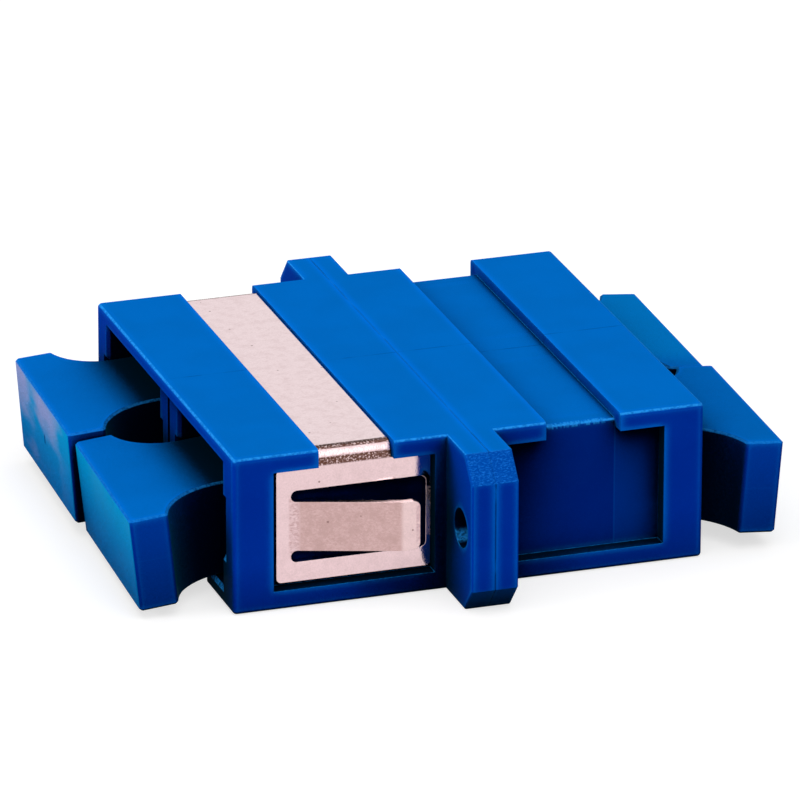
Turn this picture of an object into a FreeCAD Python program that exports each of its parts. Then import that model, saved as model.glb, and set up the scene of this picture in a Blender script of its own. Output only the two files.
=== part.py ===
# Duplex SC fibre optic adapter, lying on its broad face.
#
# X runs along the fibres, Y across the two ports, Z up. The origin is at the middle of the
# underside: x = 0 is the weld plane between the two housing halves, z = 0 the face it lies on.
# Every piece is drawn with its own +X pointing out of its port and is then turned to its end.
import FreeCAD, Part
import os
import Sketcher

# All lengths in millimetres, all angles in degrees.
SIZES = {
    # Housing block, one half
    "body_width": 25.8,
    "body_height": 9.3,
    "half_length": 13.85,
    "corner_round": 0.25,
    # Ports
    "port_pitch": 12.7,
    "port_width": 9.1,
    "port_height": 7.45,
    "lead_in": 0.2,
    "relief_height": 3.5,
    "relief_depth": 0.5,
    "divider_setback": 0.3,
    "divider_groove_width": 0.4,
    "divider_groove_depth": 0.2,
    "key_slot_width": 3.3,
    "key_slot_length": 8.6,
    # Flange, one half of its thickness on each housing half
    "flange_width": 34.56,
    "flange_half_thickness": 1.37,
    "flange_chamfer_width": 1.28,
    "flange_chamfer_height": 1.49,
    "flange_round": 0.12,
    "screw_pitch": 30.7,
    "screw_hole_radius": 1.15,
    # Side pockets and the groove for the clip
    "pocket_start": 2.05,
    "pocket_length": 9.45,
    "pocket_sill": 1.13,
    "pocket_lip": 1.07,
    "pocket_depth": 0.9,
    "groove_start": 4.48,
    "groove_length": 4.39,
    "groove_depth": 0.6,
    "fold_round": 0.25,
    # Panel clip
    "clip_thickness": 0.4,
    "clip_gap": 0.04,
    "clip_start_gap": 0.1,
    "clip_end_gap": 0.3,
    "clip_foot_gap": 0.27,
    "clip_corner_round": 0.3,
    "clip_shoulder_gap": 0.05,
    "window_start": 2.45,
    "window_end": 10.0,
    "window_bottom": 2.56,
    "window_height": 4.28,
    "window_round": 0.35,
    "slot_width": 0.68,
    "tongue_start": 3.4,
    "tongue_tip_length": 0.95,
    "tongue_lift": 1.9,
    "tongue_corner_round": 0.4,
    "tongue_bend_round": 0.6,
    # Latch inserts: base plate, sleeve tube and two hooks
    "plate_thickness": 1.3,
    "plate_margin": 0.55,
    "plate_height_margin": 0.3,
    "seat_clearance": 0.05,
    "tube_radius": 2.2,
    "tube_lip_length": 1.25,
    "tube_lip_radius": 1.45,
    "tube_lead_in": 0.2,
    "hook_reach": 9.0,
    "hook_width": 2.6,
    "hook_thickness": 0.75,
    "hook_wall_gap": 0.15,
    "hook_nose": 0.3,
    "hook_nose_length": 0.9,
    # Split sleeve
    "ferrule_radius": 1.25,
    "sleeve_radius": 1.6,
    "sleeve_length": 11.4,
    "sleeve_slit": 0.5,
    "sleeve_clearance": 0.05,
    # Dust plugs
    "plug_overhang": 4.75,
    "plug_head_width": 12.4,
    "plug_height": 5.52,
    "plug_neck_width": 6.9,
    "plug_scoop_setback": 5.6,
    "plug_scoop_radius": 3.45,
    "plug_round": 0.25,
    "plug_edge": 0.13,
    "plug_block_gap": 0.5,
    "plug_shank_radius": 3.1,
    "plug_shank_chamfer": 0.2,
    "plug_engagement": 2.0,
    "plug_bore_depth": 6.0,
    "plug_clearance": 0.2,
    # How far each dust plug stands out past being fully home
    "pull_clip_end_1": 0.48,
    "pull_clip_end_2": 0.27,
    "pull_plain_end_1": 0.09,
    "pull_plain_end_2": 0,
    # How far each dust plug is skewed about Z, at the tip of its sleeve tube
    "skew_clip_end_1": -2.7,
    "skew_clip_end_2": -2.5,
    "skew_plain_end_1": -1.35,
    "skew_plain_end_2": -1.05,
    # How far each dust plug leans down, about the same point
    "lean_clip_end_1": 6.3,
    "lean_clip_end_2": 4.7,
    "lean_plain_end_1": 4.6,
    "lean_plain_end_2": 5.5,
}

TINY = 1e-4
ENDS = {"plain_end": 0, "clip_end": 180}
PORTS = {"1": -1, "2": 1}

# Lengths that several pieces share, worked out from the sizes above.
MID_HEIGHT = "Size.body_height / 2"
PORT_CENTRE = "Size.port_pitch / 2"
WALL_Y = "(Size.body_width / 2 - Size.pocket_depth)"
GROOVE_FLOOR = "(Size.body_height - Size.groove_depth)"
LIP_UNDERSIDE = "(Size.body_height - Size.pocket_lip)"
SLEEVE_END = "(Size.sleeve_length / 2 + Size.sleeve_clearance)"
TUBE_REACH = f"({SLEEVE_END} + Size.tube_lip_length)"
PLATE_WIDTH = "(Size.port_width + 2 * Size.plate_margin)"
PLATE_HEIGHT = "(Size.port_height + 2 * Size.plate_height_margin)"

doc = FreeCAD.newDocument("duplex_sc_adapter")


def make_sheet():
    """The driving dimensions, one row each: its name beside its value."""
    sheet = doc.addObject("Spreadsheet::Sheet", "Size")
    for row, (alias, value) in enumerate(SIZES.items(), 1):
        sheet.set(f"A{row}", alias)
        sheet.set(f"B{row}", str(value))
        sheet.setAlias(f"B{row}", alias)
    doc.recompute()


# ---- Sketches and features -------------------------------------------------------------


def new_body(name, place):
    """An empty body whose placement is an expression."""
    body = doc.addObject("PartDesign::Body", name)
    body.Label = name
    body.setExpression("Placement", place)
    return body


def place(along, across, height, turn, lean="0"):
    """Placement at a point, turned about Z and then leaned down."""
    return f"placement(vector({along}; {across}; {height}); rotation({turn}; {lean}; 0))"


def datum(body, role):
    """One of the body's own origin planes or axes."""
    return next(item for item in body.Origin.OriginFeatures if item.Role == role)


def new_sketch(body, name, role, offset="0"):
    """A sketch on an origin plane, moved along that plane's normal."""
    sketch = body.newObject("Sketcher::SketchObject", name)
    sketch.AttachmentSupport = [(datum(body, role), "")]
    sketch.MapMode = "FlatFace"
    sketch.setExpression("AttachmentOffset.Base.z", offset)
    return sketch


def hold(sketch, kind, value, *where):
    """Adds a dimension and binds it to an expression."""
    number = sketch.addConstraint(Sketcher.Constraint(kind, *where, sketch.evalExpression(value)))
    sketch.setExpression(f"Constraints[{number}]", value)


def polygon(sketch, corners):
    """A closed outline, each corner held from the sketch's origin by two expressions."""
    first = sketch.GeometryCount
    points = [FreeCAD.Vector(*map(sketch.evalExpression, corner)) for corner in corners]
    count = len(points)
    for step, corner in enumerate(corners):
        following = (step + 1) % count
        sketch.addGeometry(Part.LineSegment(points[step], points[following]), False)
    for step, corner in enumerate(corners):
        line = first + step
        following = first + (step + 1) % count
        sketch.addConstraint(Sketcher.Constraint("Coincident", line, 2, following, 1))
        hold(sketch, "DistanceX", corner[0], -1, 1, line, 1)
        hold(sketch, "DistanceY", corner[1], -1, 1, line, 1)


def rectangle(sketch, left, right, bottom, top):
    """A rectangle between four expressions."""
    polygon(sketch, [(left, bottom), (right, bottom), (right, top), (left, top)])


def circle(sketch, across, up, radius):
    """A circle with its centre held from the sketch's origin."""
    centre = FreeCAD.Vector(sketch.evalExpression(across), sketch.evalExpression(up))
    size = sketch.evalExpression(radius)
    number = sketch.addGeometry(Part.Circle(centre, FreeCAD.Vector(0, 0, 1), size), False)
    hold(sketch, "DistanceX", across, -1, 1, number, 3)
    hold(sketch, "DistanceY", up, -1, 1, number, 3)
    hold(sketch, "Radius", radius, number)


def extrude(body, kind, name, sketch, length, reverse=False, symmetric=False):
    """A pad or pocket of a bound length, which becomes the body's tip."""
    feature = body.newObject(f"PartDesign::{kind}", name)
    feature.Profile = sketch
    feature.setExpression("Length", length)
    feature.Reversed = reverse
    if symmetric:
        feature.SideType = "Symmetric"
    return finish(body, feature)


def turned(body, kind, name, sketch):
    """A revolution or groove, all the way round the body's X axis."""
    feature = body.newObject(f"PartDesign::{kind}", name)
    feature.Profile = sketch
    feature.ReferenceAxis = (datum(body, "X_Axis"), [""])
    feature.Angle = 360
    return finish(body, feature)


def mirrored(body, name, originals, role="XZ_Plane"):
    """The same features again on the other side of an origin plane."""
    feature = body.newObject("PartDesign::Mirrored", name)
    feature.Originals = originals
    feature.MirrorPlane = (datum(body, role), [""])
    return finish(body, feature)


def dress(body, kind, name, wanted, size):
    """A fillet or chamfer on every edge of the tip that passes a test of its box."""
    base = body.Tip
    edges = enumerate(base.Shape.Edges, 1)
    names = [f"Edge{number}" for number, edge in edges if wanted(edge.BoundBox)]
    feature = body.newObject(f"PartDesign::{kind}", name)
    feature.Base = (base, names)
    feature.setExpression("Radius" if kind == "Fillet" else "Size", size)
    return finish(body, feature)


def finish(body, feature):
    """Makes the feature the tip and stops if it failed."""
    body.Tip = feature
    doc.recompute()
    if "Invalid" in feature.State or "Error" in feature.State or not feature.Shape.isValid():
        raise RuntimeError(f"{body.Label}: {feature.Label} failed")
    return feature


def value(expression):
    """What an expression over the sheet comes to."""
    return doc.Size.evalExpression(expression)


def near(first, second):
    return abs(first - second) < TINY


def along_x(level, across):
    """Picks the edges that run along X at a height, the same distance out on both sides."""

    def is_wanted(box):
        at_level = near(box.ZMin, level) and near(box.ZMax, level)
        return at_level and near(box.YMin, box.YMax) and near(abs(box.YMin), across)

    return is_wanted


def along_y(x):
    """Picks the level edges that run along Y at a distance along the housing."""

    def is_wanted(box):
        return near(box.XMin, x) and near(box.XMax, x) and near(box.ZMin, box.ZMax)

    return is_wanted


# ---- Housing ---------------------------------------------------------------------------


def housing_half(name, turn):
    """One moulding: half the flange, two ports side by side, a groove and two side pockets."""
    body = new_body(name, place("0", "0", "0", turn))
    side = "Size.body_width / 2"

    sketch = new_sketch(body, f"{name}_block_outline", "YZ_Plane")
    rectangle(sketch, f"-{side}", side, "0", "Size.body_height")
    extrude(body, "Pad", f"{name}_block", sketch, "Size.half_length")
    dress(body, "Fillet", f"{name}_block_round", lambda box: box.XMax > TINY, "Size.corner_round")

    flange(body, name)
    ports(body, name)
    side_pockets(body, name)
    clip_groove(body, name)
    return body


def flange(body, name):
    """Half of the flange's thickness, its four corners cut off, with a screw hole each side."""
    side = "Size.flange_width / 2"
    shoulder = f"({side} - Size.flange_chamfer_width)"
    low = "Size.flange_chamfer_height"
    high = f"(Size.body_height - {low})"
    sketch = new_sketch(body, f"{name}_flange_outline", "YZ_Plane")
    polygon(
        sketch,
        [
            (f"-{shoulder}", "0"),
            (shoulder, "0"),
            (side, low),
            (side, high),
            (shoulder, "Size.body_height"),
            (f"-{shoulder}", "Size.body_height"),
            (f"-{side}", high),
            (f"-{side}", low),
        ],
    )
    extrude(body, "Pad", f"{name}_flange", sketch, "Size.flange_half_thickness")

    face = value("Size.flange_half_thickness")
    block = value("Size.body_width / 2")

    def is_flange_edge(box):
        on_face = near(box.XMin, face) and near(box.XMax, face)
        return on_face and max(box.YMax, -box.YMin) > block + TINY

    dress(body, "Fillet", f"{name}_flange_round", is_flange_edge, "Size.flange_round")

    sketch = new_sketch(body, f"{name}_screw_circle", "YZ_Plane", "Size.flange_half_thickness")
    circle(sketch, "Size.screw_pitch / 2", MID_HEIGHT, "Size.screw_hole_radius")
    hole = extrude(body, "Pocket", f"{name}_screw_hole", sketch, "Size.flange_half_thickness")
    mirrored(body, f"{name}_screw_holes", [hole])


def ports(body, name):
    """Two straight ports with latch reliefs, a seat for the insert's plate and a key slot."""
    left = f"({PORT_CENTRE} - Size.port_width / 2)"
    right = f"({PORT_CENTRE} + Size.port_width / 2)"
    floor = f"({MID_HEIGHT} - Size.port_height / 2)"
    roof = f"({MID_HEIGHT} + Size.port_height / 2)"
    relief_low = f"({MID_HEIGHT} - Size.relief_height / 2)"
    relief_high = f"({MID_HEIGHT} + Size.relief_height / 2)"
    relief_left = f"({left} - Size.relief_depth)"
    relief_right = f"({right} + Size.relief_depth)"

    sketch = new_sketch(body, f"{name}_port_outline", "YZ_Plane", "Size.half_length")
    polygon(
        sketch,
        [
            (left, floor),
            (right, floor),
            (right, relief_low),
            (relief_right, relief_low),
            (relief_right, relief_high),
            (right, relief_high),
            (right, roof),
            (left, roof),
            (left, relief_high),
            (relief_left, relief_high),
            (relief_left, relief_low),
            (left, relief_low),
        ],
    )
    port = extrude(body, "Pocket", f"{name}_port", sketch, "Size.half_length")

    half_width = f"({PLATE_WIDTH} / 2 + Size.seat_clearance)"
    half_height = f"({PLATE_HEIGHT} / 2 + Size.seat_clearance)"
    sketch = new_sketch(body, f"{name}_seat_outline", "YZ_Plane", "Size.plate_thickness")
    rectangle(
        sketch,
        f"{PORT_CENTRE} - {half_width}",
        f"{PORT_CENTRE} + {half_width}",
        f"{MID_HEIGHT} - {half_height}",
        f"{MID_HEIGHT} + {half_height}",
    )
    seat = extrude(body, "Pocket", f"{name}_seat", sketch, "Size.plate_thickness")
    mirrored(body, f"{name}_ports", [port, seat])

    sketch = new_sketch(body, f"{name}_setback_outline", "YZ_Plane", "Size.half_length")
    rectangle(sketch, f"-{left}", left, floor, roof)
    extrude(body, "Pocket", f"{name}_divider_setback", sketch, "Size.divider_setback")

    mouth = value("Size.half_length")
    divider = value("Size.half_length - Size.divider_setback")
    inside = value(right) + value("Size.relief_depth") + TINY
    inner_roof = value(roof) + TINY

    def is_mouth_edge(box):
        if box.YMax > inside or box.YMin < -inside or box.ZMax > inner_roof:
            return False
        at_mouth = near(box.XMin, mouth) and near(box.XMax, mouth)
        at_divider = near(box.XMin, divider) and near(box.XMax, divider) and box.ZLength > TINY
        return at_mouth or at_divider

    dress(body, "Chamfer", f"{name}_lead_in", is_mouth_edge, "Size.lead_in")

    sketch = new_sketch(
        body,
        f"{name}_divider_groove_outline",
        "YZ_Plane",
        "Size.half_length - Size.divider_setback",
    )
    half_groove = "Size.divider_groove_width / 2"
    rectangle(sketch, f"-{half_groove}", half_groove, floor, roof)
    extrude(body, "Pocket", f"{name}_divider_groove", sketch, "Size.divider_groove_depth")

    sketch = new_sketch(body, f"{name}_key_outline", "XY_Plane")
    rectangle(
        sketch,
        "Size.half_length - Size.key_slot_length",
        "Size.half_length + Size.lead_in",
        f"{PORT_CENTRE} - Size.key_slot_width / 2",
        f"{PORT_CENTRE} + Size.key_slot_width / 2",
    )
    slot = extrude(body, "Pocket", f"{name}_key_slot", sketch, MID_HEIGHT, reverse=True)
    mirrored(body, f"{name}_key_slots", [slot])


def side_pockets(body, name):
    """A shallow pocket in each narrow side, framed all round."""
    sketch = new_sketch(body, f"{name}_pocket_outline", "XZ_Plane", "Size.body_width / 2")
    rectangle(
        sketch,
        "Size.pocket_start",
        "Size.pocket_start + Size.pocket_length",
        "Size.pocket_sill",
        LIP_UNDERSIDE,
    )
    pocket = extrude(body, "Pocket", f"{name}_side_pocket", sketch, "Size.pocket_depth")
    mirrored(body, f"{name}_side_pockets", [pocket])


def clip_groove(body, name):
    """The groove over the top, which opens both pockets' lips so that a clip can drop in."""
    start = "Size.groove_start"
    outside = "Size.body_width"
    above = "(Size.body_height + Size.groove_depth)"
    sketch = new_sketch(body, f"{name}_groove_outline", "YZ_Plane", f"{start} + Size.groove_length")
    polygon(
        sketch,
        [
            (f"-{WALL_Y}", LIP_UNDERSIDE),
            (f"-{WALL_Y}", GROOVE_FLOOR),
            (WALL_Y, GROOVE_FLOOR),
            (WALL_Y, LIP_UNDERSIDE),
            (outside, LIP_UNDERSIDE),
            (outside, above),
            (f"-{outside}", above),
            (f"-{outside}", LIP_UNDERSIDE),
        ],
    )
    extrude(body, "Pocket", f"{name}_clip_groove", sketch, "Size.groove_length")

    is_fold = along_x(value(GROOVE_FLOOR), value(WALL_Y))
    dress(body, "Fillet", f"{name}_fold_round", is_fold, "Size.fold_round")


# ---- Panel clip ------------------------------------------------------------------------


def mounting_clip(name, turn):
    """One strip of spring steel folded over the top, with a spring tongue cut in each leg."""
    body = new_body(name, place("0", "0", "0", turn))
    start = "(Size.pocket_start + Size.clip_start_gap)"
    end = "(Size.pocket_start + Size.pocket_length - Size.clip_end_gap)"
    inner = f"({WALL_Y} + Size.clip_gap)"
    outer = f"({inner} + Size.clip_thickness)"
    underside = f"({GROOVE_FLOOR} + Size.clip_gap)"
    top = f"({underside} + Size.clip_thickness)"
    foot = "(Size.pocket_sill + Size.clip_foot_gap)"
    shoulder = f"({LIP_UNDERSIDE} - Size.clip_shoulder_gap)"

    sketch = new_sketch(body, f"{name}_fold_outline", "YZ_Plane", start)
    polygon(
        sketch,
        [
            (f"-{outer}", foot),
            (f"-{inner}", foot),
            (f"-{inner}", underside),
            (inner, underside),
            (inner, foot),
            (outer, foot),
            (outer, top),
            (f"-{outer}", top),
        ],
    )
    extrude(body, "Pad", f"{name}_fold", sketch, f"{end} - {start}")

    is_inner_fold = along_x(value(underside), value(inner))
    is_outer_fold = along_x(value(top), value(outer))
    inner_round = "Size.fold_round + Size.clip_gap"
    outer_round = f"{inner_round} + Size.clip_thickness"
    dress(body, "Fillet", f"{name}_inner_fold", is_inner_fold, inner_round)
    dress(body, "Fillet", f"{name}_outer_fold", is_outer_fold, outer_round)

    sketch = new_sketch(body, f"{name}_shoulder_outline", "XZ_Plane")
    above = "(Size.body_height + Size.groove_depth)"
    strip_start = "(Size.groove_start + Size.clip_gap)"
    strip_end = "(Size.groove_start + Size.groove_length - Size.clip_gap)"
    rectangle(sketch, f"{start} - Size.clip_gap", strip_start, shoulder, above)
    rectangle(sketch, strip_end, f"{end} + Size.clip_gap", shoulder, above)
    extrude(body, "Pocket", f"{name}_shoulders", sketch, "2 * Size.body_width", symmetric=True)

    leg_start = value(start)
    leg_end = value(end)
    levels = (value(foot), value(shoulder))

    def is_leg_corner(box):
        at_end = near(box.XMin, box.XMax) and (near(box.XMin, leg_start) or near(box.XMin, leg_end))
        return at_end and near(box.ZMin, box.ZMax) and any(near(box.ZMin, z) for z in levels)

    dress(body, "Fillet", f"{name}_leg_corners", is_leg_corner, "Size.clip_corner_round")

    window_top = "(Size.window_bottom + Size.window_height)"
    sketch = new_sketch(body, f"{name}_window_outline", "XZ_Plane")
    rectangle(sketch, "Size.window_start", "Size.window_end", "Size.window_bottom", window_top)
    extrude(body, "Pocket", f"{name}_windows", sketch, "2 * Size.body_width", symmetric=True)
    is_window_corner = along_y(value("Size.window_start"))
    dress(body, "Fillet", f"{name}_window_corners", is_window_corner, "Size.window_round")

    sketch = new_sketch(body, f"{name}_slot_ends", "XZ_Plane")
    half_slot = "Size.slot_width / 2"
    circle(sketch, "Size.window_end", f"Size.window_bottom + {half_slot}", half_slot)
    circle(sketch, "Size.window_end", f"{window_top} - {half_slot}", half_slot)
    extrude(body, "Pocket", f"{name}_slots", sketch, "2 * Size.body_width", symmetric=True)

    tongue(body, name, inner, outer)
    return body


def tongue(body, name, inner, outer):
    """The spring tongue: joined at the outer end, bent away from the housing, tip bent back."""
    root = "(Size.window_end + Size.clip_gap)"
    tip = "Size.tongue_start"
    bend = f"({tip} + Size.tongue_tip_length)"
    low = "(Size.window_bottom + Size.slot_width)"
    height = "(Size.window_height - 2 * Size.slot_width)"
    sketch = new_sketch(body, f"{name}_tongue_outline", "XY_Plane", low)
    polygon(
        sketch,
        [
            (root, inner),
            (root, outer),
            ("Size.window_end", outer),
            (bend, f"{outer} + Size.tongue_lift"),
            (tip, f"{outer} + Size.tongue_lift"),
            (tip, f"{inner} + Size.tongue_lift"),
            (bend, f"{inner} + Size.tongue_lift"),
            ("Size.window_end", inner),
        ],
    )
    pad = extrude(body, "Pad", f"{name}_tongue", sketch, height)
    mirrored(body, f"{name}_tongues", [pad])

    bend_x = value(bend)

    def is_bend(box):
        return near(box.XMin, bend_x) and near(box.XMax, bend_x) and box.ZLength > TINY

    is_tip_corner = along_y(value(tip))
    dress(body, "Fillet", f"{name}_tongue_corners", is_tip_corner, "Size.tongue_corner_round")
    dress(body, "Fillet", f"{name}_tongue_bend", is_bend, "Size.tongue_bend_round")


# ---- Inside the ports ------------------------------------------------------------------


def latch_insert(name, turn, side):
    """Base plate with half of the sleeve tube and two hooks that grip a connector."""
    body = new_body(name, place("0", f"{side} * {PORT_CENTRE}", MID_HEIGHT, turn))

    sketch = new_sketch(body, f"{name}_plate_outline", "YZ_Plane")
    half_width = f"{PLATE_WIDTH} / 2"
    half_height = f"{PLATE_HEIGHT} / 2"
    rectangle(sketch, f"-{half_width}", half_width, f"-{half_height}", half_height)
    extrude(body, "Pad", f"{name}_plate", sketch, "Size.plate_thickness")

    sketch = new_sketch(body, f"{name}_tube_profile", "XY_Plane")
    polygon(
        sketch,
        [
            ("0", "0"),
            (TUBE_REACH, "0"),
            (TUBE_REACH, "Size.tube_radius - Size.tube_lead_in"),
            (f"{TUBE_REACH} - Size.tube_lead_in", "Size.tube_radius"),
            ("0", "Size.tube_radius"),
        ],
    )
    turned(body, "Revolution", f"{name}_tube", sketch)

    outer = "(Size.port_width / 2 - Size.hook_wall_gap)"
    inner = f"({outer} - Size.hook_thickness)"
    nose = f"({inner} - Size.hook_nose)"
    nose_start = "(Size.hook_reach - Size.hook_nose_length)"
    sketch = new_sketch(body, f"{name}_hook_profile", "XY_Plane")
    polygon(
        sketch,
        [
            ("0", inner),
            (nose_start, inner),
            (nose_start, nose),
            ("Size.hook_reach - Size.hook_nose", nose),
            ("Size.hook_reach", inner),
            ("Size.hook_reach", outer),
            ("0", outer),
        ],
    )
    hook = extrude(body, "Pad", f"{name}_hook", sketch, "Size.hook_width", symmetric=True)
    mirrored(body, f"{name}_hooks", [hook])

    sketch = new_sketch(body, f"{name}_bore_profile", "XY_Plane")
    bore = "(Size.sleeve_radius + Size.sleeve_clearance)"
    polygon(
        sketch,
        [
            ("0", "0"),
            (TUBE_REACH, "0"),
            (TUBE_REACH, "Size.tube_lip_radius"),
            (SLEEVE_END, "Size.tube_lip_radius"),
            (SLEEVE_END, bore),
            ("0", bore),
        ],
    )
    turned(body, "Groove", f"{name}_bore", sketch)
    return body


def split_sleeve(name, side):
    """A ceramic tube with one slit along it, loose inside the two halves of its sleeve tube."""
    body = new_body(name, place("0", f"{side} * {PORT_CENTRE}", MID_HEIGHT, 0))
    sketch = new_sketch(body, f"{name}_ring", "YZ_Plane")
    circle(sketch, "0", "0", "Size.sleeve_radius")
    circle(sketch, "0", "0", "Size.ferrule_radius")
    extrude(body, "Pad", f"{name}_tube", sketch, "Size.sleeve_length", symmetric=True)

    sketch = new_sketch(body, f"{name}_slit_outline", "XY_Plane")
    half_slit = "Size.sleeve_slit / 2"
    rectangle(sketch, "-Size.sleeve_length", "Size.sleeve_length", f"-{half_slit}", half_slit)
    extrude(body, "Pocket", f"{name}_slit", sketch, "2 * Size.sleeve_radius", reverse=True)
    return body


# ---- Dust plugs ------------------------------------------------------------------------


def dust_plug(end, port, turn, side):
    """Head with two finger scoops, and a hollow shank that goes over the sleeve tube."""
    name = f"dust_plug_{end}_{port}"
    centre = f"({TUBE_REACH} - Size.plug_engagement / 2)"
    along = f"({centre} + Size.pull_{end}_{port}) * cos({turn})"
    across = f"{side} * {PORT_CENTRE}"
    skewed = f"{turn} + Size.skew_{end}_{port}"
    body = new_body(name, place(along, across, MID_HEIGHT, skewed, f"Size.lean_{end}_{port}"))

    outer = f"(Size.half_length + Size.plug_overhang - {centre})"
    scoop = f"({outer} - Size.plug_scoop_setback)"
    block = f"(Size.hook_reach + Size.plug_block_gap - {centre})"
    inner = "(-Size.plug_engagement / 2)"
    half_neck = "Size.plug_neck_width / 2"
    half_head = "Size.plug_head_width / 2"

    sketch = new_sketch(body, f"{name}_head_outline", "XY_Plane")
    polygon(
        sketch,
        [
            (block, f"-{half_neck}"),
            (scoop, f"-{half_neck}"),
            (scoop, f"-{half_head}"),
            (outer, f"-{half_head}"),
            (outer, half_head),
            (scoop, half_head),
            (scoop, half_neck),
            (block, half_neck),
        ],
    )
    extrude(body, "Pad", f"{name}_head", sketch, "Size.plug_height", symmetric=True)

    sketch = new_sketch(body, f"{name}_scoop_circles", "XY_Plane")
    across = f"({half_neck} + Size.plug_scoop_radius)"
    circle(sketch, scoop, across, "Size.plug_scoop_radius")
    circle(sketch, scoop, f"-{across}", "Size.plug_scoop_radius")
    extrude(body, "Pocket", f"{name}_scoops", sketch, "2 * Size.plug_height", symmetric=True)

    block_x = value(block)
    scoop_x = value(scoop)
    half_height = value("Size.plug_height / 2")

    def is_upright_corner(box):
        return box.ZLength > TINY and box.XMin > scoop_x + TINY

    def is_outline_edge(box):
        flat = near(box.ZMin, box.ZMax) and near(abs(box.ZMin), half_height)
        return flat and box.XMax > block_x + TINY

    dress(body, "Fillet", f"{name}_head_corners", is_upright_corner, "Size.plug_round")
    dress(body, "Chamfer", f"{name}_head_edges", is_outline_edge, "Size.plug_edge")

    sketch = new_sketch(body, f"{name}_shank_profile", "XY_Plane")
    polygon(
        sketch,
        [
            (inner, "0"),
            (block, "0"),
            (block, "Size.plug_shank_radius"),
            (f"{inner} + Size.plug_shank_chamfer", "Size.plug_shank_radius"),
            (inner, "Size.plug_shank_radius - Size.plug_shank_chamfer"),
        ],
    )
    turned(body, "Revolution", f"{name}_shank", sketch)

    sketch = new_sketch(body, f"{name}_bore_profile", "XY_Plane")
    bore_end = f"({inner} + Size.plug_bore_depth)"
    bore = "(Size.tube_radius + Size.plug_clearance)"
    polygon(sketch, [(inner, "0"), (bore_end, "0"), (bore_end, bore), (inner, bore)])
    turned(body, "Groove", f"{name}_bore", sketch)
    return body


# ---- The whole adapter -----------------------------------------------------------------


def build():
    make_sheet()
    bodies = []
    for end, turn in ENDS.items():
        bodies.append(housing_half(f"housing_half_{end}", turn))
        for port, side in PORTS.items():
            bodies.append(latch_insert(f"latch_insert_{end}_{port}", turn, side))
            bodies.append(dust_plug(end, port, turn, side))
    for port, side in PORTS.items():
        bodies.append(split_sleeve(f"split_sleeve_{port}", side))
    bodies.append(mounting_clip("mounting_clip", ENDS["clip_end"]))
    return bodies


def check(bodies):
    """Stops if any object of the document failed or any piece isn't one closed solid."""
    for item in doc.Objects:
        if "Invalid" in item.State or "Error" in item.State:
            raise RuntimeError(f"{item.Label} failed: {item.State}")
    for body in bodies:
        shape = body.Shape
        if shape.isNull() or not shape.isValid() or len(shape.Solids) != 1:
            raise RuntimeError(f"{body.Label} isn't one valid solid")


def export(bodies):
    os.makedirs("parts", exist_ok=True)
    for body in bodies:
        body.Shape.exportStep(f"parts/{body.Label}.step")
        box = body.Shape.BoundBox
        low = f"{box.XMin:.2f} {box.YMin:.2f} {box.ZMin:.2f}"
        high = f"{box.XMax:.2f} {box.YMax:.2f} {box.ZMax:.2f}"
        print(f"{body.Label}: {low} to {high}, {body.Shape.Volume:.1f} mm3")


pieces = build()
doc.recompute()
check(pieces)
export(pieces)
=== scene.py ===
# Looks of the duplex SC adapter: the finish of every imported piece, a pale floor, studio light and
# the camera. Everything is in metres in the row frame: X runs along the fibres, Y across the two
# ports, Z up, and x = 0 is the weld plane between the two housing halves.
import math
import bpy
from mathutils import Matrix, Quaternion, Vector

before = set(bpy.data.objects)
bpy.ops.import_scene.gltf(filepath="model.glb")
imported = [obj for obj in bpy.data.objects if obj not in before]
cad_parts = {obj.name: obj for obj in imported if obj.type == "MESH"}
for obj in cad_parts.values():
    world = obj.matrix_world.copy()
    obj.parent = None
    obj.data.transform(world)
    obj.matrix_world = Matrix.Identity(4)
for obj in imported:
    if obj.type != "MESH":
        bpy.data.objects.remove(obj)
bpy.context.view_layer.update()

MM = 0.001

# Camera: angles in degrees, the lens and the sensor in millimetres, the rest in metres.
CAMERA_AZIMUTH = -18.654
CAMERA_ELEVATION = 21.45
CAMERA_ROLL = 0.177
CAMERA_DISTANCE = 0.5536
CAMERA_AIM = Vector((0.381 * MM, 0.482 * MM, 6.146 * MM))
CAMERA_LENS = 437.5
CAMERA_SENSOR = 36.0
CAMERA_NEAR = 0.01
CAMERA_FAR = 10.0

# Light: a radiance of 1 shows as white. The backdrop is white below its top and as dim as the
# ceiling above its end; both heights are the sine of an elevation.
AMBIENT = 0.20
WHITE = 1.0
CEILING = 0.12
BACKDROP_TOP = 0.55
BACKDROP_END = 0.75
FLOOR_SIZE = 3.0
FLOOR_DROP = 0.01 * MM
FLOOR_GREYS = (0.50, 0.50, 0.50), (0.52, 0.52, 0.52)
FLOOR_GLOW = 0.65

# Colours of the plastic, linear red, green and blue.
BLACK = (0.0, 0.0, 0.0)
SIDE_BLUE = (0.0, 0.036, 0.49)
# Painted sheen: the blue of faces that look up.
TOP_SHEEN_BLUE = (0.0, 0.158, 0.62)
# Pale blue for random tone and mould marks, and for the painted glow along edges.
PALE_AND_GLOW_BLUE = (0.0, 0.200, 0.92)
# Painted highlight on upward edges and on the ribbed folds.
EDGE_HIGHLIGHT_BLUE = (0.02, 0.330, 0.95)
# Painted shade in recesses.
RECESS_SHADE_BLUE = (0.0, 0.0, 0.008)
WELD_BLUE = (0.0, 0.01, 0.16)
# Painted shade on the back wall of the side pockets.
POCKET_SHADE_BLUE = (0.0, 0.0, 0.02)
FROST_BLUES = (0.0, 0.075, 0.47), (0.01, 0.20, 0.80)
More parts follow.
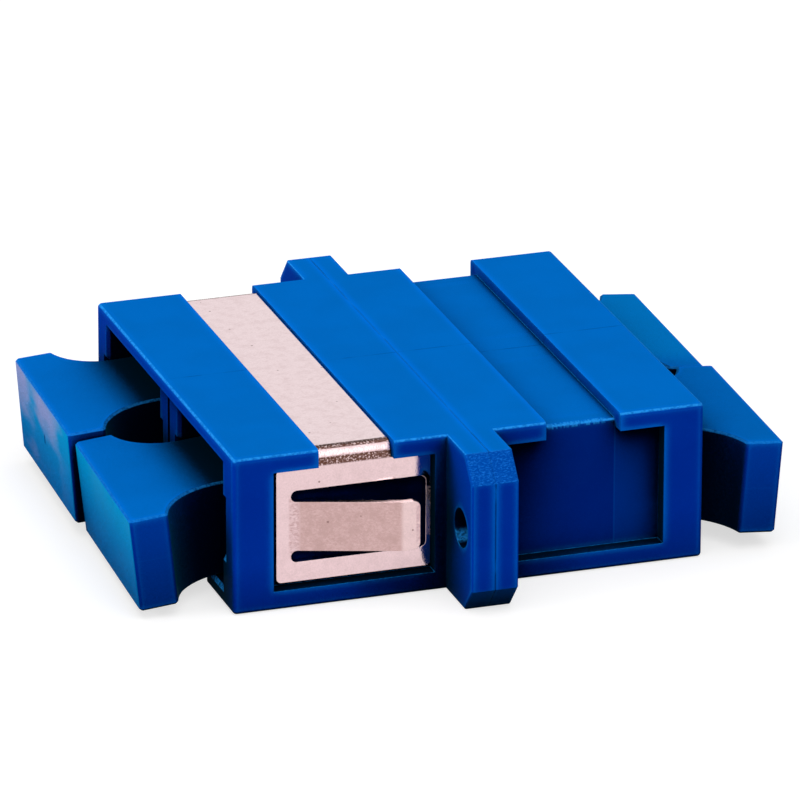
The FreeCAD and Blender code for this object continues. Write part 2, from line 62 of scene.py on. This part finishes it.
# Painted reflection on the plugs' outer ends, paler upward.
END_REFLECTION_TEALS = (0.0, 0.31, 1.0), (0.0, 0.47, 1.0)
HAZE = (0.50, 0.52, 1.0)
GATE_BLUE = (0.0, 0.04, 0.3)
# Painted light on the tops of the far plug at the right-hand end.
FAR_PLUG_LIGHT_TEAL = (0.0, 0.38, 0.85)
SHEEN_TINT = (0.0, 0.6, 1.0, 1.0)

# Colours of the spring steel and the ceramic.
STEEL = (0.84, 0.67, 0.69)
LEG_STEEL = (0.77, 0.57, 0.59)
# Streaked tongue steel, darkened as painted reflection.
STREAKED_DIM_STEELS = (0.53, 0.34, 0.33), (0.62, 0.42, 0.41)
RUBBED_MOTTLE = (0.42, 0.24, 0.21)
# Painted reflection on the tongues past their bend.
TIP_REFLECTION_STEEL = (0.76, 0.56, 0.56)
TIP_EDGE_STEEL = (0.48, 0.29, 0.33)
ROOT_STEEL = (0.50, 0.31, 0.31)
BLOTCH = (0.62, 0.45, 0.46)
PIT = (0.16, 0.08, 0.07)
GRIME = (0.3, 0.16, 0.14)
# Painted dark reflection in the folds.
DARK_REFLECTION_BROWN = (0.12, 0.050, 0.035)
# Painted highlight on the strip's cut edges.
CUT_EDGE_HIGHLIGHT = (0.97, 0.90, 0.88)
ZIRCONIAS = (0.87, 0.85, 0.80), (0.93, 0.92, 0.88)

# Places on the housing. The tops lie above TOP_START. The flange's bevelled tips lie outside
# FLANGE_TIP, the upper bevels above BEVEL_ABOVE and the lower ones below BEVEL_BELOW.
BLOCK_SIDE = 12.9 * MM
TOP_START = 8.625 * MM
FLANGE_TIP = 16.0 * MM
BEVEL_ABOVE = 6.75 * MM
BEVEL_BELOW = 2.55 * MM
POCKET_WALL = 12.0 * MM
GROOVE_MIDDLE = 6.675 * MM
GROOVE_END = 8.87 * MM

# The rounded corners where the groove turns down the sides lie outside FOLD_SIDE, above
# FOLD_HEIGHT and within FOLD_HALF of the groove's middle.
FOLD_SIDE = 11.74 * MM
FOLD_HEIGHT = 8.46 * MM
FOLD_HALF = 2.15 * MM

# Places on the dust plugs: the outer ends lie beyond PLUG_END, the gate mark is on them, and the
# middle of a head has its height where the plug is at x = 0 and falls along X.
PLUG_END = 18.1 * MM
GATE_SIDE = 6.9 * MM
GATE_HEIGHT = 3.7 * MM
PLUG_MIDDLE = 5.15 * MM
PLUG_FALL = 0.084

# Places on the clip's side legs: their outer face lies outside LEG_FACE, each tongue runs from
# its root at the end of the window to its tip, and TONGUE_HEIGHT is the middle of its height.
LEG_FACE = 12.35 * MM
WINDOW_END = 10.0 * MM
TONGUE_ROOT = 10.15 * MM
TONGUE_BEND = 4.45 * MM
TONGUE_TIP = 3.5 * MM
TONGUE_HEIGHT = 4.7 * MM
TONGUE_HALF = 1.46 * MM

# The clip's own folds lie outside BEND_SIDE and above BEND_HEIGHT. One band of painted dark
# reflection is inside and above the upper pair, the other outside and below the lower pair.
BEND_SIDE = 11.76 * MM
BEND_HEIGHT = 8.16 * MM
UPPER_BAND_SIDE = 12.16 * MM
UPPER_BAND_HEIGHT = 8.89 * MM
LOWER_BAND_SIDE = 12.15 * MM
LOWER_BAND_HEIGHT = 8.63 * MM


# ---- Node trees ------------------------------------------------------------------------


class Tree:
    """A node tree, with a short call for each kind of node used here."""

    def __init__(self, tree):
        self.tree = tree
        self.tree.nodes.clear()

    def add(self, kind, inputs=None, **settings):
        """A node with its settings, each input either linked to an output or set to a value."""
        node = self.tree.nodes.new(f"ShaderNode{kind}")
        for name, setting in settings.items():
            setattr(node, name, setting)
        for name, source in (inputs or {}).items():
            self.put(node.inputs[name], source)
        return node

    def put(self, socket, source):
        if isinstance(source, bpy.types.NodeSocket):
            self.tree.links.new(source, socket)
        else:
            socket.default_value = source

    def maths(self, operation, *sources):
        node = self.add("Math", dict(enumerate(sources)), operation=operation)
        return node.outputs[0]

    def product(self, first, *others):
        """All the sources multiplied together."""
        for other in others:
            first = self.maths("MULTIPLY", first, other)
        return first

    def fade(self, source, start, end, low=0.0, high=1.0):
        """From low to high as the source goes from start to end, and held beyond."""
        inputs = {"Value": source, "From Min": start, "From Max": end}
        inputs |= {"To Min": low, "To Max": high}
        return self.add("MapRange", inputs, interpolation_type="SMOOTHSTEP").outputs[0]

    def shown_directly(self):
        """1 where the camera, a reflection or a clear surface looks, 0 for light on the object."""
        rays = self.add("LightPath").outputs
        seen = self.maths("MAXIMUM", rays["Is Camera Ray"], rays["Is Glossy Ray"])
        return self.maths("MAXIMUM", seen, rays["Is Transmission Ray"])


class Surface(Tree):
    """The node tree of one material, with what depends on the place on its surface."""

    def __init__(self, name):
        self.material = bpy.data.materials.new(name)
        self.material.use_nodes = True
        super().__init__(self.material.node_tree)
        self.place = self.add("TexCoord").outputs["Object"]
        self.x, self.y, self.z = self.add("SeparateXYZ", {0: self.place}).outputs
        self.along = self.maths("ABSOLUTE", self.x)
        self.side = self.maths("ABSOLUTE", self.y)

    def noise(self, size, detail=2.0, roughness=0.5, stretch=(1, 1, 1), distortion=0.0):
        """Smooth noise from 0 to 1 whose patches are about that size, longer where stretched."""
        scale = [1 / (size * share) for share in stretch]
        place = self.add("Mapping", {"Vector": self.place, "Scale": scale}).outputs[0]
        inputs = {"Vector": place, "Scale": 1.0, "Detail": detail, "Roughness": roughness}
        return self.add("TexNoise", {**inputs, "Distortion": distortion}).outputs["Fac"]

    def past(self, source, place, blur):
        """0 before the source reaches the place and 1 past it, over the blur on each side."""
        return self.fade(source, place - blur, place + blur)

    def short_of(self, source, place, blur):
        """1 before the source reaches the place and 0 past it, over the blur on each side."""
        return self.fade(source, place + blur, place - blur)

    def band(self, source, middle, half, blur):
        """1 within half of the middle, fading to 0 over the blur outside that."""
        off = self.maths("ABSOLUTE", self.maths("SUBTRACT", source, middle))
        return self.fade(off, half + blur, half)

    def along_axis(self, part, start, end, low=0.0, high=1.0):
        """From low to high as that part of the normal grows, whichever way along its axis."""
        return self.fade(self.maths("ABSOLUTE", part), start, end, low, high)

    def blend(self, factor, first, second):
        """Mixes two colours."""
        node = self.add("Mix", data_type="RGBA")
        self.put(node.inputs[0], factor)
        for number, colour in ((6, first), (7, second)):
            is_plain = not isinstance(colour, bpy.types.NodeSocket)
            self.put(node.inputs[number], (*colour, 1) if is_plain else colour)
        return node.outputs[2]

    def bump(self, height, depth, normal=None):
        """A normal that shows the height, whose range from 0 to 1 stands for that depth."""
        inputs = {"Height": height, "Distance": depth, "Strength": 1.0}
        if normal is not None:
            inputs["Normal"] = normal
        return self.add("Bump", inputs).outputs[0]

    def rounded(self, radius, samples=6):
        """The normal with sharp edges rounded to that radius."""
        return self.add("Bevel", {"Radius": radius}, samples=samples).outputs[0]

    def parts(self, normal):
        """The normal's parts along the axes, by the names X, Y and Z."""
        return self.add("SeparateXYZ", {0: normal}).outputs

    def slant(self, normal, start, end):
        """0 on a face that looks along an axis, and 1 on an edge or bevel between two."""
        x, y, z = (self.maths("ABSOLUTE", part) for part in self.parts(normal))
        largest = self.maths("MAXIMUM", self.maths("MAXIMUM", x, y), z)
        return self.fade(largest, start, end)

    def turned(self, normal, start, end):
        """0 on the flat of a face, and 1 where the rounded normal turns away at its edge."""
        face = self.add("NewGeometry").outputs["True Normal"]
        match = self.add("VectorMath", {0: normal, 1: face}, operation="DOT_PRODUCT")
        return self.fade(match.outputs["Value"], start, end)

    def openness(self, distance, normal):
        """1 in the open, and near 0 deep in a corner, recess or gap that is shut from above."""
        upward = (0, 0, 0.8)
        tilted = self.add("VectorMath", {0: normal, 1: upward}, operation="ADD").outputs[0]
        inputs = {"Distance": distance, "Normal": tilted}
        return self.add("AmbientOcclusion", inputs, samples=8).outputs["AO"]

    def finish(self, **inputs):
        """Ends the tree in one Principled shader and returns the material."""
        inputs = {name.replace("_", " "): source for name, source in inputs.items()}
        shader = self.add("BsdfPrincipled", inputs)
        self.add("OutputMaterial", {"Surface": shader.outputs[0]})
        return self.material


# ---- Plastic ---------------------------------------------------------------------------


def blue_plastic(name, marks, grain, reach=6.0 * MM, shut=0.48, highlight=1.0):
    """Satin moulded plastic: painted sheen facing up, painted edge glow, painted recess shade.

    marks adds the piece's own marks, some of them painted light, and grain is the depth of the
    relief. Painted shade darkens a recess by what lies within reach, darkest where its openness
    is down to shut. The last argument sets how strongly the painted edge highlights show.
    """
    tree = Surface(name)
    cloud = tree.noise(3.5 * MM, detail=3.0)
    speck = tree.noise(0.12 * MM, detail=2.0, roughness=0.6)
    smooth = tree.rounded(0.07 * MM)
    glow = tree.rounded(1.0 * MM, samples=8)
    facing = tree.parts(smooth)

    # Painted sheen: faces that look up get a paler, greener blue than the sides.
    base = tree.blend(tree.fade(facing["Z"], 0.2, 0.9), SIDE_BLUE, TOP_SHEEN_BLUE)
    # Painted glow: the plastic is paler towards its edges, as if light shone through them.
    edge_glow = tree.turned(glow, 0.99, 0.72)
    base = tree.blend(tree.product(edge_glow, 0.9), base, PALE_AND_GLOW_BLUE)
    shade = tree.maths("ADD", tree.fade(cloud, 0.3, 0.7, 0.0, 0.5), tree.product(speck, 0.5))
    base = tree.blend(shade, tree.blend(0.1, base, BLACK), tree.blend(0.06, base, PALE_AND_GLOW_BLUE))
    base, relief = marks(tree, base, facing)

    # Painted shade: recesses and gaps shut from above go nearly black.
    unshaded = tree.fade(tree.openness(reach, smooth), shut, 0.96)
    base = tree.blend(unshaded, RECESS_SHADE_BLUE, base)
    # Painted highlights: thin glinting pale lines along the upward edges.
    upper = tree.fade(facing["Z"], 0.0, 0.6)
    glitter = tree.fade(tree.noise(0.15 * MM, detail=2.0), 0.35, 0.6, 0.3, 1.0)
    inside = tree.short_of(tree.side, FLANGE_TIP, 0.05 * MM)
    edge_highlight = tree.product(tree.slant(smooth, 0.96, 0.8), upper, glitter, inside, highlight)
    base = tree.blend(edge_highlight, base, EDGE_HIGHLIGHT_BLUE)

    return tree.finish(
        Base_Color=base,
        Roughness=tree.fade(cloud, 0.3, 0.7, 0.38, 0.46),
        Normal=tree.bump(tree.maths("ADD", speck, relief), grain, smooth),
        Specular_IOR_Level=0.0005,
        Sheen_Weight=0.06,
        Sheen_Roughness=0.5,
        Sheen_Tint=SHEEN_TINT,
    )


def housing_marks(tree, base, facing):
    """All the marks of a housing half, some of them painted light, and the relief they need."""
    base, weld = weld_and_sink(tree, base)
    base = pocket_shade_and_step(tree, base, facing)
    base, frosted = flange_bevels(tree, base, facing)
    base, ribbed = ribbed_folds(tree, base)
    relief = tree.maths("ADD", tree.product(frosted, 1.2), tree.product(ribbed, 3.0))
    return base, tree.maths("SUBTRACT", relief, tree.product(weld, 4.0))


def weld_and_sink(tree, base):
    """The uneven weld line round the middle, and a faint sink line along the top."""
    wander = tree.noise(1.6 * MM, detail=3.0)
    weld = tree.product(
        tree.band(tree.along, 0.0, 0.03 * MM, 0.03 * MM),
        tree.fade(tree.side, BLOCK_SIDE + 0.05 * MM, BLOCK_SIDE + 0.2 * MM, 0.45, 0.6),
        tree.fade(wander, 0.35, 0.5, 0.3, 1.0),
    )
    sink = tree.product(
        tree.band(tree.side, 0.0, 0.03 * MM, 0.05 * MM),
        tree.past(tree.z, TOP_START, 0.025 * MM),
        tree.fade(wander, 0.4, 0.6, 0.05, 0.35),
    )
    return tree.blend(tree.maths("MAXIMUM", weld, sink), base, WELD_BLUE), weld


def pocket_shade_and_step(tree, base, facing):
    """Painted shade darkens the side pockets' back wall, a little paler beyond the groove's end."""
    wall = tree.product(
        tree.band(tree.side, POCKET_WALL, 0.03 * MM, 0.01 * MM),
        tree.along_axis(facing["Y"], 0.7, 0.9),
    )
    # Painted shade on the pocket's back wall.
    base = tree.blend(tree.product(wall, 0.36), base, POCKET_SHADE_BLUE)
    step = tree.band(tree.along, GROOVE_END, 0.02 * MM, 0.04 * MM)
    base = tree.blend(tree.product(wall, step, 0.18), base, PALE_AND_GLOW_BLUE)
    beyond = tree.fade(tree.along, GROOVE_END, GROOVE_END + 0.03 * MM)
    return tree.blend(tree.product(wall, beyond, 0.08), base, PALE_AND_GLOW_BLUE)


def flange_bevels(tree, base, facing):
    """The frosted upper bevels of the flange's tips, and the paler lower ones."""
    tip = tree.past(tree.side, FLANGE_TIP, 0.05 * MM)
    upper = tree.product(
        tip,
        tree.fade(facing["Z"], 0.35, 0.5),
        tree.fade(facing["Z"], 0.95, 0.85),
        tree.past(tree.z, BEVEL_ABOVE, 0.25 * MM),
    )
    grit = tree.noise(0.08 * MM, detail=3.0, roughness=0.7, stretch=(2, 1, 1))
    frost = tree.fade(grit, 0.45, 0.7)
    base = tree.blend(upper, base, tree.blend(frost, *FROST_BLUES))
    lower = tree.product(
        tip,
        tree.fade(facing["Z"], -0.35, -0.5),
        tree.short_of(tree.z, BEVEL_BELOW, 0.25 * MM),
    )
    base = tree.blend(tree.product(lower, 0.5), base, PALE_AND_GLOW_BLUE)
    return base, tree.product(upper, frost)


def ribbed_folds(tree, base):
    """Fine ribs, with painted glints, on the rounded corners where the clip's groove turns down."""
    fold = tree.product(
        tree.past(tree.side, FOLD_SIDE, 0.04 * MM),
        tree.short_of(tree.side, POCKET_WALL + 0.02 * MM, 0.01 * MM),
        tree.past(tree.z, FOLD_HEIGHT, 0.04 * MM),
        tree.band(tree.along, GROOVE_MIDDLE, FOLD_HALF, 0.03 * MM),
    )
    ribs = tree.fade(tree.noise(0.12 * MM, stretch=(1, 8, 8)), 0.4, 0.6)
    ribbed = tree.product(fold, ribs)
    # Painted glints on the ribs.
    return tree.blend(tree.product(ribbed, 0.7), base, EDGE_HIGHLIGHT_BLUE), ribbed


def plug_marks(tree, base, facing):
    """All the marks of a dust plug, some of them painted light, and the relief they need."""
    base, gate = plug_end(tree, base, facing)
    flank = tree.along_axis(facing["Y"], 0.9, 0.98, 0.0, 0.15)
    base = tree.blend(flank, base, PALE_AND_GLOW_BLUE)
    # Painted light: the far plug's tops at the right-hand end are paler.
    far_plug_light = tree.product(
        tree.fade(tree.x, 10.0 * MM, 14.0 * MM),
        tree.fade(tree.y, 0.0, 3.0 * MM),
        tree.fade(facing["Z"], 0.5, 0.9),
        0.25,
    )
    base = tree.blend(far_plug_light, base, FAR_PLUG_LIGHT_TEAL)
    base, parting = parting_line(tree, base)
    return base, tree.maths("ADD", parting, tree.product(gate, -3.0))


def plug_end(tree, base, facing):
    """The outer end: painted teal reflection, paler upward, hazy on one port's plugs, with a gate
    mark.
    """
    end = tree.product(
        tree.past(tree.along, PLUG_END, 0.1 * MM),
        tree.along_axis(facing["X"], 0.85, 0.95),
    )
    # Painted reflection: the outer end is teal, paler towards the top.
    end_reflection = tree.blend(tree.fade(tree.z, 0.8 * MM, 6.6 * MM), *END_REFLECTION_TEALS)
    base = tree.blend(end, base, end_reflection)
    patch = tree.noise(1.6 * MM, detail=2.0, roughness=0.5, stretch=(1, 3.5, 1.4))
    haze = tree.product(
        end,
        tree.fade(patch, 0.40, 0.64, 0.0, 0.9),
        tree.fade(tree.y, 1.0 * MM, 6.0 * MM, 0.02, 1.0),
        tree.fade(tree.z, 1.5 * MM, 6.5 * MM, 0.3, 1.0),
    )
    base = tree.blend(haze, base, HAZE)
    gate = tree.product(
        end,
        tree.band(tree.y, GATE_SIDE, 0.05 * MM, 0.12 * MM),
        tree.band(tree.z, GATE_HEIGHT, 0.2 * MM, 0.15 * MM),
    )
    return tree.blend(tree.product(gate, 0.9), base, GATE_BLUE), gate


def parting_line(tree, base):
    """The line that the mould's two halves leave round the middle of a head."""
    middle = tree.maths("MULTIPLY_ADD", tree.along, -PLUG_FALL, PLUG_MIDDLE)
    off = tree.maths("SUBTRACT", tree.z, middle)
    parting = tree.product(tree.band(off, 0.0, 0.02 * MM, 0.04 * MM), 0.08)
    return tree.blend(parting, base, PALE_AND_GLOW_BLUE), parting


def no_marks(tree, base, facing):
    return base, 0.0


# ---- Metal and ceramic -----------------------------------------------------------------


def rolled_steel():
    """Thin spring strip: pinkish satin metal, streaked on the tongues.

    Painted reflection darkens the tongues, paler past their bend, and lays dark bands at the folds.
    """
    tree = Surface("spring_steel")
    fine = tree.noise(0.09 * MM, detail=2.0, roughness=0.6)
    mottle = tree.noise(0.7 * MM, detail=4.0, roughness=0.65)
    rubbed = tree.noise(
        0.09 * MM, detail=4.0, roughness=0.6, stretch=(2.5, 1, 1.2), distortion=0.6
    )
    crack = tree.noise(0.11 * MM, detail=2.0, roughness=0.7)
    smooth = tree.rounded(0.04 * MM)
    facing = tree.parts(smooth)

    base = tree.blend(tree.fade(tree.side, 12.0 * MM, 12.3 * MM), STEEL, LEG_STEEL)
    base, tongue = dimmed_streaked_tongues(tree, base, rubbed, mottle)
    base = tree.blend(tree.fade(mottle, 0.42, 0.7, 0.0, 0.35), base, BLOTCH)
    cells = tree.add("TexVoronoi", {"Vector": tree.place, "Scale": 1 / (1.1 * MM)})
    pits = tree.fade(cells.outputs["Distance"], 0.075, 0.045)
    base = tree.blend(tree.product(pits, 0.7), base, PIT)
    base = tree.blend(tree.fade(fine, 0.3, 0.7, 0.12, 0.0), base, GRIME)
    base, fold = folds_with_dark_bands(tree, base, crack)
    # Painted highlight: the strip's cut edges below the folds are nearly white.
    cut_edge_highlight = tree.product(
        tree.along_axis(facing["Y"], 0.6, 0.4),
        tree.fade(tree.z, 8.3 * MM, 8.1 * MM),
    )
    base = tree.blend(cut_edge_highlight, base, CUT_EDGE_HIGHLIGHT)

    normal = tree.bump(fine, 0.0015 * MM, smooth)
    normal = tree.bump(tree.product(fold, crack), 0.02 * MM, normal)
    normal = tree.bump(tree.product(tongue, rubbed), 0.003 * MM, normal)
    satin = tree.fade(fine, 0.3, 0.7, 0.03, 0.08)
    roughness = tree.maths("ADD", satin, tree.product(tongue, 0.12))
    return tree.finish(Base_Color=base, Metallic=1.0, Roughness=roughness, Normal=normal)


def dimmed_streaked_tongues(tree, base, rubbed, mottle):
    """The tongues: streaked and mottled, paler past the bend, darker at the root and the tip."""
    leg = tree.past(tree.side, LEG_FACE, 0.05 * MM)
    tongue = tree.product(
        leg,
        tree.band(tree.z, TONGUE_HEIGHT, TONGUE_HALF, 0.03 * MM),
        tree.fade(tree.along, WINDOW_END, WINDOW_END - 0.25 * MM),
    )
    streak = tree.fade(rubbed, 0.3, 0.7)
    # Painted reflection: the tongue is darker than the leg, over its real streaks and mottling.
    dimmed_tongue = tree.blend(streak, *STREAKED_DIM_STEELS)
    dimmed_tongue = tree.blend(tree.fade(mottle, 0.45, 0.70, 0.0, 0.75), dimmed_tongue, RUBBED_MOTTLE)
    # Painted reflection: paler past the bend, where the tip lies flat like the leg.
    dimmed_tongue = tree.blend(tree.short_of(tree.along, TONGUE_BEND, 0.15 * MM), dimmed_tongue, TIP_REFLECTION_STEEL)
    base = tree.blend(tongue, base, dimmed_tongue)
    root = tree.product(
        leg,
        tree.band(tree.along, TONGUE_ROOT, 0.2 * MM, 0.2 * MM),
        tree.band(tree.z, TONGUE_HEIGHT, 1.5 * MM, 0.5 * MM),
    )
    base = tree.blend(tree.product(root, streak, 0.95), base, ROOT_STEEL)
    tip_edge = tree.product(
        tree.band(tree.along, TONGUE_TIP, 0.08 * MM, 0.12 * MM),
        tree.band(tree.z, TONGUE_HEIGHT, 1.25 * MM, 0.1 * MM),
    )
    base = tree.blend(tree.product(tip_edge, streak, 0.8), base, TIP_EDGE_STEEL)
    return base, tongue


def folds_with_dark_bands(tree, base, crack):
    """Painted dark reflection in a band each side of the strip's downward bend, cracked and
    speckled.
    """
    fold = tree.product(
        tree.past(tree.side, BEND_SIDE, 0.04 * MM),
        tree.past(tree.z, BEND_HEIGHT, 0.06 * MM),
    )
    upper = tree.product(
        tree.short_of(tree.side, UPPER_BAND_SIDE, 0.03 * MM),
        tree.past(tree.z, UPPER_BAND_HEIGHT, 0.03 * MM),
    )
    lower = tree.product(
        tree.short_of(tree.z, LOWER_BAND_HEIGHT, 0.03 * MM),
        tree.past(tree.side, LOWER_BAND_SIDE, 0.05 * MM),
    )
    # Painted dark reflection: bands along both sides of each fold.
    dark_bands = tree.product(fold, tree.maths("MAXIMUM", upper, lower))
    speckled = tree.product(dark_bands, tree.fade(crack, 0.34, 0.5))
    return tree.blend(speckled, base, DARK_REFLECTION_BROWN), fold


def ground_ceramic():
    """White zirconia with the fine rings that grinding leaves round it."""
    tree = Surface("zirconia")
    base = tree.blend(tree.noise(1.2 * MM), *ZIRCONIAS)
    rings = tree.noise(0.05 * MM, stretch=(1, 30, 30))
    return tree.finish(Base_Color=base, Roughness=0.22, Normal=tree.bump(rings, 0.0008 * MM))


def dress(start, material):
    """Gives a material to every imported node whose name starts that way."""
    for name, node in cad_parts.items():
        if name.startswith(start):
            node.data.materials.clear()
            node.data.materials.append(material)


# ---- Stage -----------------------------------------------------------------------------


def show(name, data):
    """A new object in the scene with that data."""
    holder = bpy.data.objects.new(name, data)
    bpy.context.scene.collection.objects.link(holder)
    return holder


def point(holder, place, direction, roll=0.0):
    """Puts a lamp or a camera at a place, looking in a direction and rolled by an angle."""
    holder.location = place
    holder.rotation_mode = "QUATERNION"
    turn = Quaternion((0, 0, 1), math.radians(roll))
    holder.rotation_quaternion = direction.to_track_quat("-Z", "Y") @ turn


def make_floor():
    """A pale floor that looks white but for the object's soft shadow."""
    half = FLOOR_SIZE / 2
    corners = [(-half, -half), (half, -half), (half, half), (-half, half)]
    mesh = bpy.data.meshes.new("floor")
    mesh.from_pydata([(x, y, -FLOOR_DROP) for x, y in corners], [], [range(len(corners))])
    floor = show("floor", mesh)

    tree = Surface("floor")
    paper = tree.blend(tree.noise(4.0 * MM), *FLOOR_GREYS)
    diffuse = tree.add("BsdfDiffuse", {"Color": paper})
    strength = tree.product(tree.shown_directly(), FLOOR_GLOW)
    glow = tree.add("Emission", {"Strength": strength})
    both = tree.add("AddShader", {0: diffuse.outputs[0], 1: glow.outputs[0]})
    tree.add("OutputMaterial", {"Surface": both.outputs[0]})
    mesh.materials.append(tree.material)


def make_world():
    """Even grey light on the object, in front of what looks like a white backdrop."""
    world = bpy.data.worlds.new("studio")
    world.use_nodes = True
    tree = Tree(world.node_tree)
    direction = tree.add("TexCoord").outputs["Generated"]
    height = tree.add("SeparateXYZ", {0: direction}).outputs["Z"]
    backdrop = tree.fade(height, BACKDROP_TOP, BACKDROP_END, WHITE, CEILING)
    strength = tree.add("Mix", {0: tree.shown_directly(), 2: AMBIENT, 3: backdrop})
    light = {"Color": (1, 1, 1, 1), "Strength": strength.outputs[0]}
    background = tree.add("Background", light)
    tree.add("OutputWorld", {"Surface": background.outputs[0]})
    bpy.context.scene.world = world


def make_softbox(name, place, size, radiance):
    """A square lamp that faces the object and shows as that radiance."""
    lamp = bpy.data.lights.new(name, "AREA")
    lamp.shape = "SQUARE"
    lamp.size = size
    lamp.energy = radiance * math.pi * size**2
    holder = show(name, lamp)
    holder.visible_camera = False
    point(holder, place, -Vector(place))


def make_camera():
    azimuth = math.radians(CAMERA_AZIMUTH)
    elevation = math.radians(CAMERA_ELEVATION)
    back = Vector((
        math.sin(azimuth) * math.cos(elevation),
        -math.cos(azimuth) * math.cos(elevation),
        math.sin(elevation),
    ))
    camera = bpy.data.cameras.new("camera")
    camera.lens = CAMERA_LENS
    camera.sensor_width = CAMERA_SENSOR
    camera.clip_start = CAMERA_NEAR
    camera.clip_end = CAMERA_FAR
    holder = show("camera", camera)
    point(holder, CAMERA_AIM + CAMERA_DISTANCE * back, -back, CAMERA_ROLL)
    bpy.context.scene.camera = holder


# ---- The scene -------------------------------------------------------------------------


dress("housing_half", blue_plastic("housing_plastic", housing_marks, grain=0.005 * MM))
dress(
    "dust_plug",
    blue_plastic(
        "plug_plastic", plug_marks, grain=0.004 * MM, reach=12.0 * MM, shut=0.58, highlight=0.35
    ),
)
dress("latch_insert", blue_plastic("insert_plastic", no_marks, grain=0.004 * MM))
dress("mounting_clip", rolled_steel())
dress("split_sleeve", ground_ceramic())

make_camera()
make_world()
make_floor()
make_softbox("softbox_above", (0.00, -0.06, 0.50), size=0.70, radiance=1.15)
make_softbox("softbox_left", (-0.50, 0.00, 0.17), size=0.30, radiance=3.8)
make_softbox("softbox_front", (0.00, -0.38, 0.32), size=0.35, radiance=1.5)
bpy.context.scene.view_settings.view_transform = "Standard"
